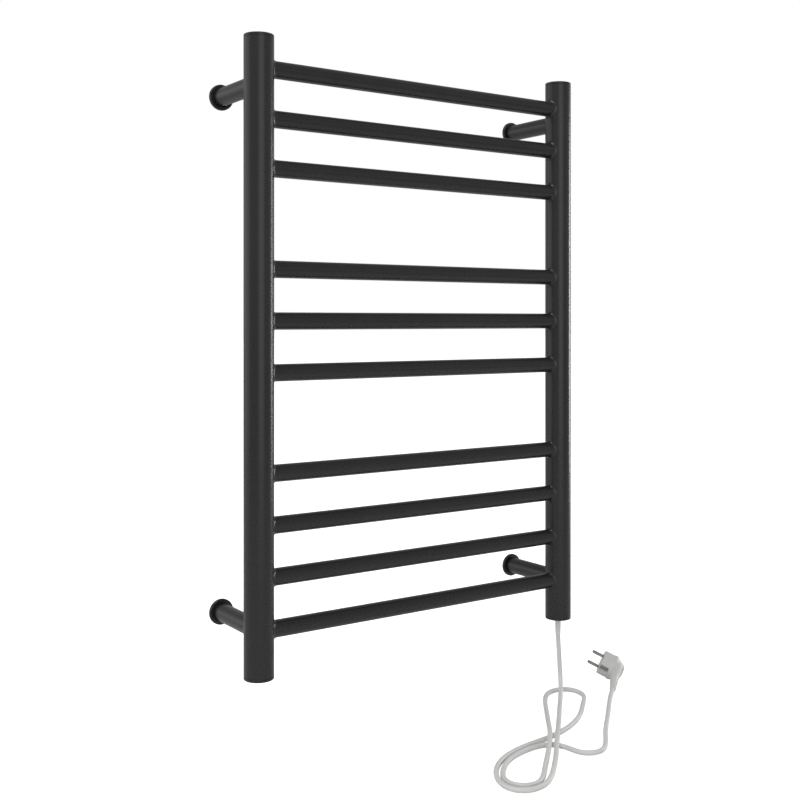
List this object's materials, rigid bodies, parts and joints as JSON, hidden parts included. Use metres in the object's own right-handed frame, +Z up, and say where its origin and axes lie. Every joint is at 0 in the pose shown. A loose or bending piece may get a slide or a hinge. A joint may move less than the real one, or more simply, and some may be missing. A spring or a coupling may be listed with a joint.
{
  "type": "towel warmer rack",
  "caption": "Wall-mounted electric towel warmer rack with round bars between two posts, four wall brackets and a mains lead with plug.",
  "frame": {"origin": "centre of the four wall screws, on the wall plane", "axes": "+Z up, -Y out of the wall towards the room, +X to the right as seen from the room"},
  "size_m": [0.6574, 0.3533, 0.915],
  "materials": {
    "black_paint": "satin powder coat, near-black charcoal",
    "zinc_steel": "zinc-plated steel",
    "heater_jacket": "silicone jacket",
    "cutout_case": "moulded case",
    "tinned_brass": "tinned",
    "brown_insulation": "wire insulation",
    "blue_insulation": "wire insulation",
    "green_insulation": "wire insulation",
    "nylon_black": "moulded nylon",
    "grey_pvc": "soft light grey jacket",
    "plug_grey": "moulded, slightly darker than the lead",
    "white_rubber": "soft white",
    "nickel": "nickel-plated"
  },
  "bodies": {
    "frame": {"left_post": "black_paint", "right_post": "black_paint", "bar_01": "black_paint", "bar_02": "black_paint", "bar_03": "black_paint", "bar_04": "black_paint", "bar_05": "black_paint", "bar_06": "black_paint", "bar_07": "black_paint", "bar_08": "black_paint", "bar_09": "black_paint", "bar_10": "black_paint", "cap_top_left": "black_paint", "cap_top_right": "black_paint", "cap_bottom_left": "black_paint", "cap_bottom_right": "black_paint", "standoff_upper_left": "black_paint", "standoff_upper_right": "black_paint", "standoff_lower_left": "black_paint", "standoff_lower_right": "black_paint", "wall_stub_upper_left": "zinc_steel", "wall_stub_upper_right": "zinc_steel", "wall_stub_lower_left": "zinc_steel", "wall_stub_lower_right": "zinc_steel", "post_inserts": "zinc_steel", "joining_studs": "zinc_steel", "grub_screws": "zinc_steel", "heating_cable": "heater_jacket", "thermal_cutout": "cutout_case", "crimp_connectors": "tinned_brass", "live_wire": "brown_insulation", "neutral_wire": "blue_insulation", "earth_wire": "green_insulation", "earth_lug": "tinned_brass", "earth_screw": "zinc_steel", "cord_clamp": "nylon_black", "clamp_screws": "zinc_steel", "inner_cord": "grey_pvc", "cord_grommet": "white_rubber", "power_cord": "grey_pvc", "plug_body": "plug_grey", "plug_pins": "nickel", "plug_earth_clips": "nickel"},
    "rosette_upper_left_cover": {"rosette_upper_left": "black_paint"},
    "rosette_upper_right_cover": {"rosette_upper_right": "black_paint"},
    "rosette_lower_left_cover": {"rosette_lower_left": "black_paint"},
    "rosette_lower_right_cover": {"rosette_lower_right": "black_paint"}
  },
  "joints": [
    {"name": "rosette_upper_left_slide", "type": "slide", "parent": "frame", "child": "rosette_upper_left_cover", "axis": [0, -1, 0], "range_m": [0, 0.086]},
    {"name": "rosette_upper_right_slide", "type": "slide", "parent": "frame", "child": "rosette_upper_right_cover", "axis": [0, -1, 0], "range_m": [0, 0.086]},
    {"name": "rosette_lower_left_slide", "type": "slide", "parent": "frame", "child": "rosette_lower_left_cover", "axis": [0, -1, 0], "range_m": [0, 0.086]},
    {"name": "rosette_lower_right_slide", "type": "slide", "parent": "frame", "child": "rosette_lower_right_cover", "axis": [0, -1, 0], "range_m": [0, 0.086]}
  ]
}
